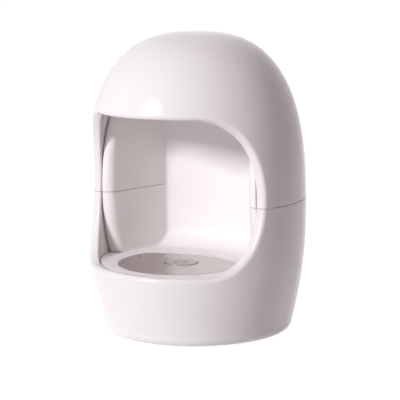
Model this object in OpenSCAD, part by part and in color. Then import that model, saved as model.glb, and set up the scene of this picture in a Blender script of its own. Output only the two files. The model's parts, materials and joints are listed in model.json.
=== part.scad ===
// Mini UV nail lamp: an egg-shaped housing with a side-cut finger opening,
// a one-piece white reflector, a metal base plate with a round push button,
// a lamp board in the hood and a control board in the foot.
// Millimetres. +Z is up, the opening faces -Y, the origin is the middle of the foot.

/* [Body] */
// Largest outer diameter of the egg
body_d = 68; // [60:1:80]
// Overall height from the floor to the crown
body_h = 92; // [86:1:110]
// Height of the widest ring
waist_z = 38; // [34:1:42]
// Fullness of the dome, where 2 is an ellipse
dome_power = 2.7; // [2.4:0.1:3]
// Radius of the side's arc below the waist
side_arc_r = 135; // [110:5:200]
// Radius of the bottom edge
base_corner_r = 3; // [2:0.5:3.5]
// Thickness of the outer shells
wall = 3; // [2.4:0.1:3.2]
// Height of the joint between the outer shells
parting_z = 41.6; // [39:0.1:44]
// Open line left at the joint
seam_gap = 0.15; // [0.1:0.05:0.3]
// Height of the lip that centres the upper shell
lip_h = 1.8; // [1.2:0.1:2.4]

/* [Finger opening] */
// Height of the hood's rim
rim_z = 68.3; // [66:0.1:70]
// Height of the cavity floor and of the front sill
floor_z = 22; // [21:0.1:24]
// Place of the opening's deepest point, measured along Y
cut_back_y = -10.2; // [-12:0.1:-8]
// Depth of the opening's rounded end
cut_round_y = 14; // [11:0.5:16]

/* [Inner liner] */
// Thickness of the side panels, reflector and ceiling
liner_t = 2; // [1.6:0.1:2.2]
// Half width between the side panels at the front
side_x_front = 25.9; // [25:0.1:26.2]
// Half width between the side panels at the back
side_x_back = 21.1; // [20.4:0.1:21.6]
// Deepest point of the back wall
back_y = 19.5; // [18:0.1:20.5]
// Plan radius of the back wall
back_r = 46; // [40:1:60]
// Radius between the floor and the back wall
cove_r = 6; // [4:0.5:8]
// Side-view radius of the panels' front edge
lip_arc_r = 80; // [60:5:120]
// Gap between the liner parts and the shells
liner_gap = 0.3; // [0.25:0.05:0.4]

/* [Base plate] */
// Diameter of the base plate
plate_d = 38.6; // [34:0.2:39]
// Place of the plate's centre along Y
plate_y = -7.9; // [-9:0.1:-7.4]
// Place of the plate's straightened back edge along Y
plate_back_y = 4.3; // [2:0.1:6]
// Thickness of the base plate
plate_t = 0.8; // [0.6:0.1:1]
// Thickness of the adhesive sheet below it
tape_t = 0.15; // [0.1:0.05:0.3]
// Gap round the base plate
plate_gap = 0.15; // [0.1:0.05:0.3]

/* [Button] */
// Diameter of the button cap
button_d = 9.8; // [8:0.2:12]
// Travel of the button
button_travel = 0.5; // [0.3:0.1:0.6]
// Height of the cap above the cavity floor
button_proud = 0.15; // [0:0.05:0.3]
// Gap round the button cap
button_gap = 0.3; // [0.2:0.05:0.4]
// Width of the retaining flange beyond the cap
button_flange = 1.4; // [1:0.1:2]
// Diameter of the stem
stem_d = 4; // [3:0.2:5]

/* [Electronics] */
// Thickness of the circuit boards
board_t = 1.6; // [1:0.2:1.6]
// Radius of the control board
board_r = 18.8; // [17:0.1:19]
// Height of the posts below the control board
board_post_h = 4; // [3.5:0.1:4.5]
// Width of the push switch body
switch_w = 6; // [5:0.5:7]
// Height of the push switch body
switch_h = 3.5; // [3:0.1:4]
// Number of lamp diodes
led_count = 6; // [4:1:8]
// Radius of the ring of lamp diodes
led_ring_r = 9.6; // [9:0.2:10.4]
// Diameter of the clear lens caps
lens_d = 6.4; // [5:0.2:6.6]
// Radius of the lamp board
led_board_r = 17; // [16.4:0.2:17.4]

/* [Fasteners] */
// Screw shank diameter
screw_d = 2; // [1.6:0.1:2.2]
// Screw head diameter
screw_head_d = 3.8; // [3.4:0.1:4.2]
// Screw head height
screw_head_h = 1.3; // [1:0.1:1.5]
// Radius of the cover screws' circle
cover_screw_r = 21.8; // [21.5:0.1:22.2]
// Diameter of the screw bosses
boss_d = 5; // [4.6:0.1:5.4]
// Diameter of the rubber feet
foot_d = 6.4; // [5:0.2:7]
// Radius of the feet's circle
foot_ring_r = 19; // [16:0.5:20]
// How far the feet stand out below the body
base_z = 0.6; // [0.4:0.1:1]

/* [Hidden] */
round_fn = 96;
hole_fn = 32;
far = 2 * body_h;
dome_steps = 20;
arc_steps = 8;

// Fits and small gaps shared by several pieces
hole_gap = 0.1;
slip_gap = 0.2;

// Heights in the foot
cover_t = 2.4;
cover_top = base_z + cover_t;
cover_r = 24.4;
inside_z = cover_top + slip_gap;
foot_sink = 0.8;
board_z = cover_top + board_post_h;
board_top = board_z + board_t;
slab_z = floor_z - liner_t;
sill_ring_top = slab_z - slip_gap;
sill_ring_z = sill_ring_top - liner_t;
sill_ring_hole_r = 18;

// Button stack, from the switch up
switch_top = board_top + switch_h;
plunger_d = 3.5;
plunger_reach = 1.5;
plunger_sink = 0.6;
plunger_gap = 0.1;
touch_gap = 0.05;
flange_t = 1;
flange_top = slab_z - touch_gap;
plunger_top = switch_top + plunger_reach;
guide_wall = 1.4;
guide_h = 2.4;

// Heights in the hood
ceiling_z = rim_z + 1;
ceiling_top = ceiling_z + liner_t;
led_post_h = 2;
led_board_z = ceiling_top + led_post_h;
led_board_top = led_board_z + board_t;
led_screw_r = 14;
liner_screw_r = 21;

// Arc of the liner's back wall and of the plate's back edge share this centre
back_centre_y = back_y - back_r;
// Front edge of the side panels in side view
cut_mid_z = (rim_z + floor_z) / 2;
lip_front_y = cut_back_y + seam_gap;

// Small board parts
board_screw_r = 15.4;
usb_w = 8.94;
usb_h = 3.16;
usb_depth = 7.3;
usb_skin = 0.3;
usb_recess = 1.3;
usb_z = board_top + usb_h / 2;
socket_size = [6, 4.5, 4.4];
socket_at = [-7.6, 9];
lamp_socket_y = 0;
wire_d = 1.2;
wire_pitch = 2.2;
lug_inset = 2.3;
lug_a = 62;
lug_d = 5.6;
lug_h = 8.5;
lug_bite = 5;
boss_screw_length = 5.4;
cover_screw_length = 6;
can_d = 4;
can_h = 5.4;
can_base_t = 0.6;
can_spots = [[-13, -4.5], [9, -4.5]];
coil_side = 6;
coil_at = [5, -1];

// Radius of the egg at height z, taken in by w
function egg_r(z, w) =
    z < waist_z
        ? body_d / 2 - w - side_arc_r + sqrt(pow(side_arc_r, 2) - pow(waist_z - z, 2))
        : (body_d / 2 - w) * pow(1 - pow((z - waist_z) / (body_h - w - waist_z), dome_power),
                                 1 / dome_power);

// Half outline of the egg from height z0 up, taken in by w
function side_points(z0, w) =
    [for (i = [0 : arc_steps - 1]) let (z = z0 + (waist_z - z0) * i / arc_steps) [egg_r(z, w), z]];
function dome_points(w) =
    [for (i = [0 : dome_steps]) let (t = 90 * i / dome_steps)
        [(body_d / 2 - w) * pow(cos(t), 2 / dome_power),
         waist_z + (body_h - w - waist_z) * pow(sin(t), 2 / dome_power)]];
function corner_points(r, z0, cr) =
    [for (i = [0 : 4]) let (t = 90 * i / 5) [r - cr + cr * sin(t), z0 + cr - cr * cos(t)]];

module outer_egg() {
    top_of_corner = base_z + base_corner_r;
    rotate_extrude($fn = round_fn)
        polygon(concat([[0, base_z]],
                       corner_points(egg_r(top_of_corner, 0), base_z, base_corner_r),
                       side_points(top_of_corner, 0), dome_points(0)));
}

module inner_egg(w, z0) {
    rotate_extrude($fn = round_fn)
        polygon(concat([[0, z0]], side_points(z0, w), dome_points(w)));
}

// Everything between two heights
module layer(z0, z1) {
    translate([-far / 2, -far / 2, z0]) cube([far, far, z1 - z0]);
}

// Everything behind a place along Y
module behind(y) {
    translate([-far / 2, y, 0]) cube([far, far, far]);
}

// A side-view outline, drawn as [y, z], carried across the body along X
module across(x0, x1) {
    translate([x0, 0, 0]) rotate([90, 0, 90]) linear_extrude(x1 - x0) children();
}

// The finger opening: straight in from the front, with a rounded end
module finger_cut() {
    start_y = cut_back_y - cut_round_y;
    half = (rim_z - floor_z) / 2;
    end_points = [for (i = [0 : 24]) let (t = -90 + 180 * i / 24)
        [start_y + cut_round_y * cos(t), cut_mid_z + half * sin(t)]];
    across(-far / 2, far / 2)
        polygon(concat([[-far, floor_z]], end_points, [[-far, rim_z]]));
}

module post(d, z0, z1, fn = hole_fn) {
    translate([0, 0, z0]) cylinder(h = z1 - z0, d = d, $fn = fn);
}

// Copies at an angle and radius, in plan
module at_ring(r, angles) {
    for (a = angles) rotate([0, 0, a]) translate([r, 0, 0]) children();
}

// A pan head screw along +Z, its head below z = 0 where the seat is
module screw(length) {
    slot = 0.5;
    slot_depth = 0.8;
    tip = 0.8;
    difference() {
        union() {
            translate([0, 0, -screw_head_h]) cylinder(h = screw_head_h, d = screw_head_d, $fn = hole_fn);
            cylinder(h = length - tip, d = screw_d, $fn = hole_fn);
            translate([0, 0, length - tip]) cylinder(h = tip, d1 = screw_d, d2 = screw_d / 3, $fn = hole_fn);
        }
        for (a = [0, 90]) rotate([0, 0, a])
            translate([-screw_head_d / 3, -slot / 2, -screw_head_h - slot_depth])
                cube([screw_head_d * 2 / 3, slot, 2 * slot_depth]);
    }
}

module screw_up(z, length) { translate([0, 0, z]) screw(length); }
module screw_down(z, length) { translate([0, 0, z]) rotate([180, 0, 0]) screw(length); }

cover_angles = [45, 135, 225, 315];
board_angles = [30, 150, 270];
liner_angles = [30, 150, 270];
lug_r = egg_r(parting_z, wall) - lug_inset;
lug_angles = [lug_a, 180 - lug_a];
pilot_d = screw_d + hole_gap;
clear_d = screw_d + 2 * slip_gap;
head_hole_d = screw_head_d + 2 * slip_gap;
lug_screw_z = parting_z + lip_h - lug_h;
// The joint's lip stops short of the opening, so that it doesn't show there
lip_end_y = cut_back_y + wall;

// Racetrack outline, w wide and h high
module racetrack(w, h) {
    square([w - h, h], center = true);
    for (s = [-1, 1]) translate([s * (w - h) / 2, 0]) circle(d = h, $fn = hole_fn);
}

// A racetrack bar along +Y between y0 and y1, at the socket's height
module usb_bar(w, h, y0, y1) {
    translate([0, y1, usb_z]) rotate([90, 0, 0]) linear_extrude(y1 - y0) racetrack(w, h);
}
usb_face_y = egg_r(usb_z, 0) - usb_recess;

module upper_shell() {
    color([0.93, 0.90, 0.90])
    difference() {
        union() {
            difference() {
                outer_egg();
                inner_egg(wall, inside_z);
            }
            intersection() {
                inner_egg(wall / 2, inside_z);
                union() {
                    at_ring(liner_screw_r, liner_angles) post(boss_d, ceiling_top + touch_gap, body_h);
                    at_ring(lug_r, lug_angles)
                        post(lug_d, parting_z, parting_z + lip_h + lug_h);
                }
            }
        }
        layer(-1, parting_z + seam_gap);
        intersection() {
            inner_egg(wall / 2, inside_z);
            layer(0, parting_z + lip_h + seam_gap);
            behind(lip_end_y - slip_gap);
        }
        finger_cut();
        at_ring(liner_screw_r, liner_angles) post(pilot_d, 0, ceiling_top + 5);
        at_ring(lug_r, lug_angles) post(pilot_d, 0, parting_z + lip_h + lug_h - 1.5);
    }
}

module lower_shell() {
    color([0.93, 0.90, 0.90])
    difference() {
        union() {
            intersection() {
                difference() {
                    outer_egg();
                    inner_egg(wall, inside_z);
                }
                layer(0, parting_z);
            }
            intersection() {
                difference() {
                    inner_egg(wall / 2 + hole_gap, inside_z);
                    inner_egg(wall, inside_z);
                }
                layer(parting_z - 1, parting_z + lip_h);
                behind(lip_end_y);
            }
            intersection() {
                inner_egg(wall / 2 + hole_gap, inside_z);
                union() {
                    at_ring(cover_screw_r, cover_angles) {
                        post(boss_d, inside_z, sill_ring_z);
                        translate([0, -boss_d / 6, inside_z])
                            cube([body_d / 2, boss_d / 3, sill_ring_z - inside_z]);
                    }
                    at_ring(lug_r, lug_angles) post(lug_d, lug_screw_z, parting_z + lip_h);
                }
            }
        }
        finger_cut();
        post(2 * (cover_r + slip_gap), 0, inside_z + touch_gap, round_fn);
        at_ring(cover_screw_r, cover_angles) post(pilot_d, 0, far);
        at_ring(lug_r, lug_angles) post(clear_d, lug_screw_z - 1, far);
        usb_bar(usb_w + 2 * slip_gap, usb_h + 2 * slip_gap, 0, far);
        usb_bar(usb_w + wall, usb_h + wall, usb_face_y + touch_gap, far);
    }
}

// Half width between the side panels at a place along Y
function side_x(y) =
    side_x_front + (side_x_back - side_x_front) * (y - cut_back_y) / (back_y - cut_back_y);

// Plan strip of one side panel, w thick, from its inner face out
module side_strip(w) {
    polygon([[side_x_front, cut_back_y], [side_x_front + w, cut_back_y],
             [side_x_back + w, back_y], [side_x_back, back_y]]);
}

// Space that the side panels leave free, grown by g
module side_clear(g) {
    foot_y = lip_front_y + lip_arc_r
        - sqrt(pow(lip_arc_r, 2) - pow(cut_mid_z - floor_z, 2));
    for (s = [0, 1]) mirror([s, 0])
        polygon([[side_x(foot_y - g) - g, foot_y - g], [far, foot_y - g], [far, far],
                 [side_x_back - g, far], [side_x_back - g, back_y]]);
}

module lip_disc(r) {
    translate([lip_front_y + lip_arc_r, cut_mid_z]) circle(r = r, $fn = round_fn);
}

// Left and right side panels with their curved front lips, between two heights
module side_panels(z0, z1) {
    intersection() {
        inner_egg(wall + liner_gap, inside_z);
        layer(z0, z1);
        for (s = [0, 1]) mirror([s, 0, 0]) union() {
            intersection() {
                linear_extrude(body_h) side_strip(liner_t);
                across(0, far) lip_disc(lip_arc_r);
            }
            intersection() {
                across(side_x_front, far) difference() {
                    lip_disc(lip_arc_r);
                    lip_disc(lip_arc_r - liner_t);
                }
                translate([0, -far, 0]) cube([far, far, far]);
            }
        }
    }
}

module wire_notch(z0, z1) {
    translate([-wire_pitch - wire_d, back_y + liner_t + slip_gap, z0])
        cube([2 * (wire_pitch + wire_d), far, z1 - z0]);
}

module upper_liner() {
    color([0.95, 0.93, 0.93])
    difference() {
        union() {
            side_panels(parting_z + seam_gap, ceiling_z + touch_gap);
            intersection() {
                inner_egg(wall + liner_gap, inside_z);
                layer(ceiling_z, ceiling_top);
            }
            at_ring(led_screw_r, liner_angles) post(boss_d, ceiling_top - 1, led_board_z);
        }
        wire_notch(ceiling_z - 1, ceiling_top + 1);
        at_ring(led_screw_r, liner_angles) post(pilot_d, ceiling_z + 0.6, far);
        at_ring(liner_screw_r, liner_angles) {
            post(clear_d, ceiling_z - 1, far);
            post(head_hole_d, ceiling_z - 1, ceiling_z + screw_head_h);
        }
        at_ring(led_ring_r, led_angles) post(lens_d + 2 * slip_gap, ceiling_z - 1, far);
    }
}

// Snap hooks of the reflector, as [x, y, turn]
hook_w = 4;
hook_t = 1.2;
hook_barb = 0.6;
hook_reach = 0.9;
hook_inset = 2.6;
hook_r = egg_r(sill_ring_z, wall + liner_gap) - hook_inset;
hook_a = 25;
hook_back_x = 9;
hook_back_y = back_y - 1.2;
hook_spots = [
    [hook_r * cos(hook_a), -hook_r * sin(hook_a), -hook_a],
    [-hook_r * cos(hook_a), -hook_r * sin(hook_a), 180 + hook_a],
    [hook_back_x, hook_back_y, 90],
    [-hook_back_x, hook_back_y, 90]
];

module hook() {
    translate([-hook_t / 2, -hook_w / 2, 0]) {
        translate([0, 0, sill_ring_z - slip_gap / 2])
            cube([hook_t, hook_w, slab_z + 0.5 - sill_ring_z + slip_gap / 2]);
        translate([0, 0, sill_ring_z - hook_reach - slip_gap / 2])
            cube([hook_t + hook_barb, hook_w, hook_reach]);
    }
}

module hook_slot() {
    translate([-hook_t / 2 - hook_barb, -hook_w / 2 - slip_gap, sill_ring_z - 1])
        cube([hook_t + hook_barb + slip_gap, hook_w + 2 * slip_gap, liner_t + 2]);
}

module at_hooks() {
    for (h = hook_spots) translate([h[0], h[1], 0]) rotate([0, 0, h[2]]) children();
}

module lower_liner() {
    color([0.95, 0.93, 0.93])
    difference() {
        union() {
            side_panels(sill_ring_top - 0.5, parting_z);
            intersection() {
                inner_egg(wall + liner_gap, inside_z);
                layer(sill_ring_z, sill_ring_top);
            }
        }
        post(2 * sill_ring_hole_r, 0, sill_ring_top + 1, round_fn);
        wire_notch(sill_ring_z - 1, sill_ring_top + 1);
        at_ring(cover_screw_r, cover_angles) {
            post(clear_d, 0, sill_ring_top + 1);
            post(head_hole_d, sill_ring_top - screw_head_h - touch_gap, sill_ring_top + 1);
        }
        at_hooks() hook_slot();
    }
}

// Outline of the base plate, grown by g
module plate_outline(g) {
    intersection() {
        translate([0, plate_y]) circle(d = plate_d + 2 * g, $fn = round_fn);
        translate([0, back_centre_y])
            circle(r = plate_back_y - back_centre_y + g, $fn = round_fn);
    }
}

// Section of the reflector as [radius, z]: floor, cove and back wall
module reflector_section() {
    difference() {
        translate([0, slab_z]) square([back_r + liner_t, ceiling_z - touch_gap - slab_z]);
        translate([0, floor_z]) square([back_r - cove_r, far]);
        translate([0, floor_z + cove_r]) square([back_r, far]);
        translate([back_r - cove_r, floor_z + cove_r]) circle(r = cove_r, $fn = round_fn);
    }
}

module reflector() {
    color([0.97, 0.96, 0.96])
    difference() {
        union() {
            difference() {
                intersection() {
                    translate([0, back_centre_y, 0])
                        rotate_extrude($fn = round_fn) reflector_section();
                    inner_egg(wall + liner_gap, inside_z);
                }
                linear_extrude(body_h) side_clear(slip_gap);
                at_ring(lug_r, lug_angles)
                    post(lug_d + 2 * liner_gap, lug_screw_z - 2 * screw_head_h, parting_z + lip_h + lug_h + liner_gap);
            }
            translate([0, plate_y, 0]) post(button_d + 2 * (button_flange + slip_gap + guide_wall),
                                            slab_z - guide_h, slab_z + 0.5);
            at_hooks() hook();
        }
        translate([0, 0, floor_z - plate_t - tape_t]) linear_extrude(plate_t + tape_t + 0.2)
            plate_outline(plate_gap);
        translate([0, plate_y, 0]) {
            post(button_d + 2 * button_gap, 0, far);
            post(button_d + 2 * (button_flange + slip_gap), 0, slab_z);
        }
    }
}

module plate_sheet(z, t, g, hole) {
    translate([0, 0, z]) linear_extrude(t) difference() {
        plate_outline(g);
        translate([0, plate_y]) circle(d = hole, $fn = round_fn);
    }
}

module base_plate() {
    color([0.62, 0.58, 0.58])
    plate_sheet(floor_z - plate_t, plate_t, 0, button_d + 2 * button_gap);
}

module plate_tape() {
    color([0.85, 0.8, 0.6])
    plate_sheet(floor_z - plate_t - tape_t, tape_t, -0.5, button_d + 2 * button_gap + 1);
}

module power_button() {
    mark_r = button_d / 4.5;
    mark_w = 0.5;
    mark_depth = 0.2;
    cap_top = floor_z + button_proud;
    color([0.66, 0.62, 0.62])
    translate([0, plate_y, 0]) difference() {
        union() {
            post(button_d, flange_top - flange_t, cap_top, round_fn);
            post(button_d + 2 * button_flange, flange_top - flange_t, flange_top, round_fn);
            post(stem_d, plunger_top + touch_gap, flange_top);
        }
        translate([0, 0, cap_top - mark_depth]) {
            difference() {
                cylinder(h = 1, r = mark_r, $fn = hole_fn);
                translate([0, 0, -1]) cylinder(h = 3, r = mark_r - mark_w, $fn = hole_fn);
                translate([-mark_w * 1.5, 0, -1]) cube([mark_w * 3, button_d, 3]);
            }
            translate([-mark_w / 2, mark_r * 0.4, 0]) cube([mark_w, mark_r, 1]);
        }
    }
}

module switch_plunger() {
    color([0.15, 0.15, 0.16])
    translate([0, plate_y, 0]) post(plunger_d, switch_top - plunger_sink, plunger_top);
}

module switch_body() {
    leg = 0.7;
    cover_t = 0.3;
    color([0.12, 0.12, 0.13])
    translate([0, plate_y, 0]) difference() {
        union() {
            translate([-switch_w / 2, -switch_w / 2, board_top])
                cube([switch_w, switch_w, switch_h - cover_t]);
            translate([-switch_w / 2 + cover_t, -switch_w / 2 + cover_t, board_top])
                cube([switch_w - 2 * cover_t, switch_w - 2 * cover_t, switch_h]);
            for (sx = [-1, 1], sy = [-1, 1])
                translate([sx * (switch_w / 2 + leg / 2) - leg / 2, sy * switch_w / 3 - leg / 2, board_top])
                    cube([leg, leg, leg]);
        }
        post(plunger_d + 2 * plunger_gap, switch_top - plunger_sink - button_travel - plunger_gap, far);
    }
}

module control_board() {
    tongue_y = egg_r(board_z, wall) - 4 * slip_gap;
    color([0.08, 0.32, 0.2])
    difference() {
        translate([0, 0, board_z]) linear_extrude(board_t) union() {
            circle(r = board_r, $fn = round_fn);
            translate([-usb_w / 2 - slip_gap, 0]) square([usb_w + 2 * slip_gap, tongue_y]);
        }
        at_ring(board_screw_r, board_angles) post(clear_d, 0, far);
    }
}

module on_board(x, y) { translate([x, y, board_top]) children(); }

module controller_chip() {
    body = [5, 4, 1.5];
    pin = [0.4, 1, 0.3];
    color([0.1, 0.1, 0.11])
    on_board(-2.5, 3) {
        cube(body);
        for (i = [0 : 3], s = [0, 1])
            translate([0.5 + i * 1.2, s == 0 ? -pin[1] : body[1], 0]) cube(pin);
    }
}

module power_coil() {
    side = coil_side;
    color([0.22, 0.22, 0.23])
    on_board(coil_at[0], coil_at[1]) difference() {
        cube([side, side, side / 2]);
        translate([side / 2, side / 2, side * 0.43]) cylinder(h = side, d = side * 0.6, $fn = hole_fn);
    }
}

module capacitors() {
    color([0.75, 0.76, 0.78])
    for (c = can_spots) on_board(c[0], c[1]) {
        cylinder(h = can_h, d = can_d, $fn = hole_fn);
        translate([-can_d / 2, -can_d / 2, 0]) cube([can_d, can_d, can_base_t]);
    }
}

module chip_resistors() {
    size = [1.6, 0.8, 0.5];
    color([0.2, 0.2, 0.22])
    for (i = [0 : 4]) on_board(-3.6 + i * 2.2, 9.5) cube(size);
}

module usb_shell() {
    color([0.78, 0.79, 0.8])
    difference() {
        usb_bar(usb_w, usb_h, usb_face_y - usb_depth, usb_face_y);
        usb_bar(usb_w - 2 * usb_skin, usb_h - 2 * usb_skin,
                usb_face_y - usb_depth + usb_skin, far);
    }
}

module usb_tongue() {
    tongue = [6.7, 4.6, 0.7];
    block_y = usb_face_y - usb_depth + usb_skin;
    color([0.1, 0.1, 0.1])
    union() {
        usb_bar(usb_w - 2 * usb_skin, usb_h - 2 * usb_skin, block_y, block_y + 1.6);
        translate([-tongue[0] / 2, block_y + 1, usb_z - tongue[2] / 2]) cube(tongue);
    }
}

// One two-way wire socket with its mouth up
module wire_socket() {
    skin = 0.8;
    difference() {
        translate([-socket_size[0] / 2, -socket_size[1] / 2, 0]) cube(socket_size);
        translate([-socket_size[0] / 2 + skin, -socket_size[1] / 2 + skin, skin + 0.4])
            cube([socket_size[0] - 2 * skin, socket_size[1] - 2 * skin, socket_size[2]]);
    }
}

module wire_sockets() {
    color([0.93, 0.92, 0.88]) {
        on_board(socket_at[0], socket_at[1]) wire_socket();
        translate([0, lamp_socket_y, led_board_top]) wire_socket();
    }
}

// Route of the pair of wires, as its middle line: socket, up the back, over the lamp board
function wire_mid(z) = [0, (back_y + liner_t + egg_r(z, wall)) / 2, z];
wire_rise = 6;
wire_z = board_top + socket_size[2] + 2 * wire_d;
hood_gap = body_h - wall - led_board_top - socket_size[2];
hood_wire_z = led_board_top + socket_size[2] + 0.35 * hood_gap;
wire_points = [
    [socket_at[0], socket_at[1], board_top + wire_d + slip_gap], [socket_at[0], socket_at[1], wire_z - wire_d],
    [socket_at[0] + 2 * wire_d, socket_at[1] + 3 * wire_d, wire_z],
    [-3 * wire_d, sill_ring_hole_r, wire_z],
    [-wire_d, back_y + 3 * wire_d, sill_ring_z - wire_d / 2],
    wire_mid(sill_ring_top + wire_rise), wire_mid((sill_ring_top + cut_mid_z) / 2), wire_mid(cut_mid_z),
    wire_mid(ceiling_z - wire_rise), wire_mid(ceiling_top + wire_d),
    [0, egg_r(ceiling_top + wire_rise, wall) - 3 * wire_d, ceiling_top + wire_rise],
    [0, lamp_socket_y + 10 * wire_d, hood_wire_z], [0, lamp_socket_y + 3 * wire_d, hood_wire_z],
    [0, lamp_socket_y, led_board_top + socket_size[2]], [0, lamp_socket_y, led_board_top + wire_d + slip_gap]
];

function unit(v) = v / norm(v);
// Smooth curve through the route, sub steps between each two points
wire_sub = 3;
function spline(a, b, c, d, t) =
    0.5 * (2 * b + (c - a) * t + (2 * a - 5 * b + 4 * c - d) * t * t
           + (3 * b - 3 * c + d - a) * t * t * t);
wire_last = len(wire_points) - 1;
wire_curve = concat(
    [for (i = [0 : wire_last - 1], k = [0 : wire_sub - 1])
        spline(wire_points[max(i - 1, 0)], wire_points[i], wire_points[i + 1],
               wire_points[min(i + 2, wire_last)], k / wire_sub)],
    [wire_points[wire_last]]);

// A tube of the wire's size along the curve, set off along X
module wire(offset_x) {
    sides = 8;
    n = len(wire_curve);
    points = [for (i = [0 : n - 1])
        let (dir = unit(wire_curve[min(i + 1, n - 1)] - wire_curve[max(i - 1, 0)]),
             u = unit(cross([1, 0, 0], dir)), v = cross(dir, u))
        for (k = [0 : sides - 1])
            wire_curve[i] + [offset_x, 0, 0]
            + wire_d / 2 * (cos(360 * k / sides) * u + sin(360 * k / sides) * v)];
    side_faces = [for (i = [0 : n - 2], k = [0 : sides - 1])
        [i * sides + k, (i + 1) * sides + k,
         (i + 1) * sides + (k + 1) % sides, i * sides + (k + 1) % sides]];
    polyhedron(points,
               concat(side_faces, [[for (k = [0 : sides - 1]) k]],
                      [[for (k = [sides - 1 : -1 : 0]) (n - 1) * sides + k]]));
}

module lamp_wires() {
    color([0.75, 0.1, 0.1]) wire(-wire_pitch / 2);
    color([0.1, 0.1, 0.1]) wire(wire_pitch / 2);
}

led_angles = [for (i = [0 : led_count - 1]) 360 * i / led_count];
led_size = 3.5;
led_h = 1.2;

module lamp_board() {
    color([0.86, 0.86, 0.84])
    difference() {
        post(2 * led_board_r, led_board_z, led_board_top, round_fn);
        at_ring(led_screw_r, liner_angles) post(clear_d, 0, far);
    }
}

module uv_diodes() {
    color([0.9, 0.85, 0.55])
    at_ring(led_ring_r, led_angles) translate([-led_size / 2, -led_size / 2, led_board_z - led_h])
        cube([led_size, led_size, led_h]);
}

module diode_lenses() {
    flange_d = lens_d + 2.2;
    flange_t = 0.8;
    dome_drop = 1.6;
    dome_r = (pow(lens_d / 2, 2) + pow(dome_drop, 2)) / (2 * dome_drop);
    color([0.85, 0.88, 0.95, 0.5])
    at_ring(led_ring_r, led_angles) difference() {
        union() {
            post(lens_d, ceiling_z, ceiling_top + touch_gap);
            post(flange_d, ceiling_top + touch_gap, ceiling_top + touch_gap + flange_t);
            intersection() {
                translate([0, 0, ceiling_z - dome_drop + dome_r]) sphere(r = dome_r, $fn = hole_fn);
                post(lens_d, ceiling_z - dome_drop, ceiling_z);
            }
        }
        translate([-led_size / 2 - slip_gap, -led_size / 2 - slip_gap, led_board_z - led_h - slip_gap])
            cube([led_size + 2 * slip_gap, led_size + 2 * slip_gap, far]);
    }
}

module lamp_board_screws() {
    color([0.7, 0.7, 0.72])
    at_ring(led_screw_r, liner_angles) screw_down(led_board_top, board_t + led_post_h);
}

module liner_screws() {
    color([0.7, 0.7, 0.72])
    at_ring(liner_screw_r, liner_angles) screw_up(ceiling_z + screw_head_h, boss_screw_length);
}

module sill_screws() {
    color([0.7, 0.7, 0.72])
    at_ring(cover_screw_r, cover_angles)
        screw_down(sill_ring_top - screw_head_h - touch_gap, boss_screw_length);
}

module shell_screws() {
    color([0.7, 0.7, 0.72])
    at_ring(lug_r, lug_angles) screw_up(lug_screw_z, lug_h + lug_bite);
}

module board_screws() {
    color([0.7, 0.7, 0.72])
    at_ring(board_screw_r, board_angles) screw_down(board_top, board_t + board_post_h - 0.8);
}

module bottom_cover() {
    color([0.93, 0.90, 0.90])
    difference() {
        union() {
            post(2 * cover_r, base_z, cover_top, round_fn);
            at_ring(board_screw_r, board_angles) post(boss_d, cover_top - 1, board_z);
        }
        at_ring(cover_screw_r, cover_angles) {
            post(clear_d, 0, cover_top + 1);
            post(head_hole_d, 0, base_z + screw_head_h + slip_gap);
        }
        at_ring(board_screw_r, board_angles) post(pilot_d, base_z + 1.2, far);
        at_ring(foot_ring_r, foot_angles) post(foot_d + 2 * hole_gap, 0, base_z + foot_sink);
    }
}

module cover_screws() {
    color([0.7, 0.7, 0.72])
    at_ring(cover_screw_r, cover_angles) screw_up(base_z + screw_head_h + slip_gap, cover_screw_length);
}

foot_angles = [0, 90, 180, 270];

module rubber_feet() {
    color([0.25, 0.25, 0.26])
    at_ring(foot_ring_r, foot_angles) post(foot_d, 0, base_z + foot_sink);
}

upper_shell();
lower_shell();
reflector();
upper_liner();
lower_liner();
base_plate();
plate_tape();
power_button();
switch_plunger();
switch_body();
control_board();
controller_chip();
power_coil();
capacitors();
chip_resistors();
usb_shell();
usb_tongue();
wire_sockets();
lamp_wires();
lamp_board();
uv_diodes();
diode_lenses();
lamp_board_screws();
liner_screws();
sill_screws();
shell_screws();
board_screws();
bottom_cover();
cover_screws();
rubber_feet();
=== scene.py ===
# %% [markdown]
# # A small egg-shaped nail lamp
# The lamp is an egg of glossy white plastic with a C-shaped opening for a fingertip. A joint line
# runs round its middle. Inside the opening are a white reflector, a grey metal plate and a round
# push button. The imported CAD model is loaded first, and it fixes where every piece sits. The shells
# and the side walls are built again here from the same sizes, with soft edges, and take the place
# of their CAD nodes. All other nodes stay as they are and get their finish here.

# %% Load the fixed frame
import json
import math

import bmesh
import bpy
import numpy as np
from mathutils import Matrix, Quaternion, Vector


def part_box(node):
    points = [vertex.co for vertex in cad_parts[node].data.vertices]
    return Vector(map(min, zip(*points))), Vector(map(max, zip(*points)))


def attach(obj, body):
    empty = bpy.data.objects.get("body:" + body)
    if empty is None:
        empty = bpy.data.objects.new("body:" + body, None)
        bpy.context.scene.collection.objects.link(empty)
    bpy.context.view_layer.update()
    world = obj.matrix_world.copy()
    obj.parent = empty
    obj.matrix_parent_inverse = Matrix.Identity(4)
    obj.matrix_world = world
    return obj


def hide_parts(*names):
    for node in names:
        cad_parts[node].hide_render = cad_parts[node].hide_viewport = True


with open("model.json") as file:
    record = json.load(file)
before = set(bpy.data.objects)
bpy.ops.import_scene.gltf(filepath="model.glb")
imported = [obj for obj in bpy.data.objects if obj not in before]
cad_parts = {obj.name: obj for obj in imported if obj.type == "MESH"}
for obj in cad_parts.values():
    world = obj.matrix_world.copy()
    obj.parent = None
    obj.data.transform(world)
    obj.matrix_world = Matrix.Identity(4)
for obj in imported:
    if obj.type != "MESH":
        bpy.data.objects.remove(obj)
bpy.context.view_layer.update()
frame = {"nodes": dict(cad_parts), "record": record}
nodes = frame["nodes"]
MM = 0.001

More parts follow.
